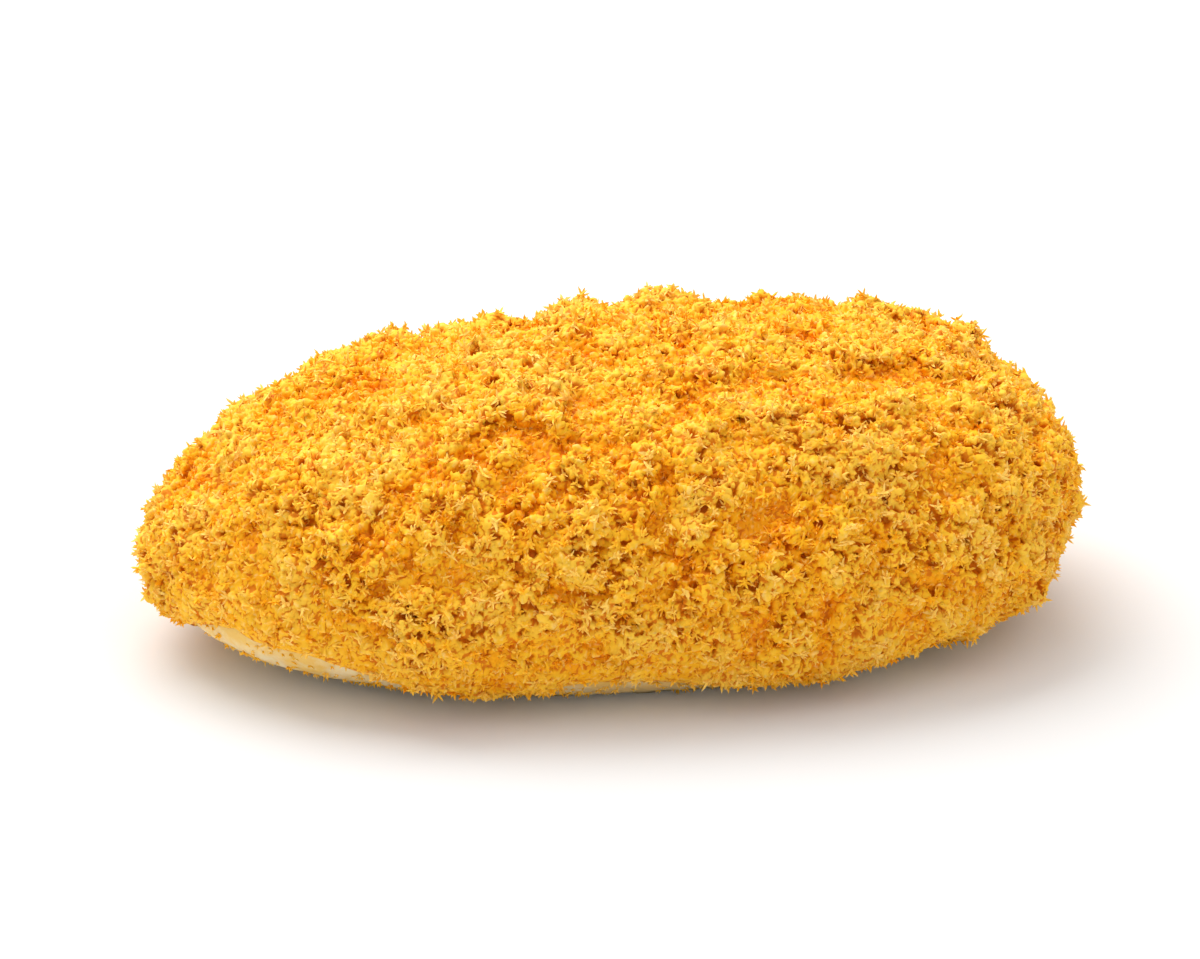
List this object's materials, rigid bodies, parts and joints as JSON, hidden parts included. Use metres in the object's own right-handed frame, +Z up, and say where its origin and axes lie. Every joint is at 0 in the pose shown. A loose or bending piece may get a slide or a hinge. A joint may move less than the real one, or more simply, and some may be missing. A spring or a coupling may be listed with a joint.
{
  "type": "pork floss bun",
  "caption": "Soft oval bread bun on a flat base, its domed top and its sides covered by a thick matted coat of golden pork floss with an uneven lower edge.",
  "frame": {"origin": "under the middle of the bun's bounding box, on the surface that it stands on", "axes": "+X along the bun's length, towards the end with the fuller shoulder; +Y across it, away from the pictured side; +Z up"},
  "size_m": [0.1324, 0.0758, 0.0455],
  "materials": {
    "bread": "soft matt skin of a white bread bun, cream to pale gold, dusted yellow with floss",
    "pork_floss": "matted shreds of dry golden pork floss, brighter at the tips and orange-brown in the pits"
  },
  "bodies": {
    "root": {"bread_bun": "bread", "pork_floss": "pork_floss"}
  },
  "joints": []
}
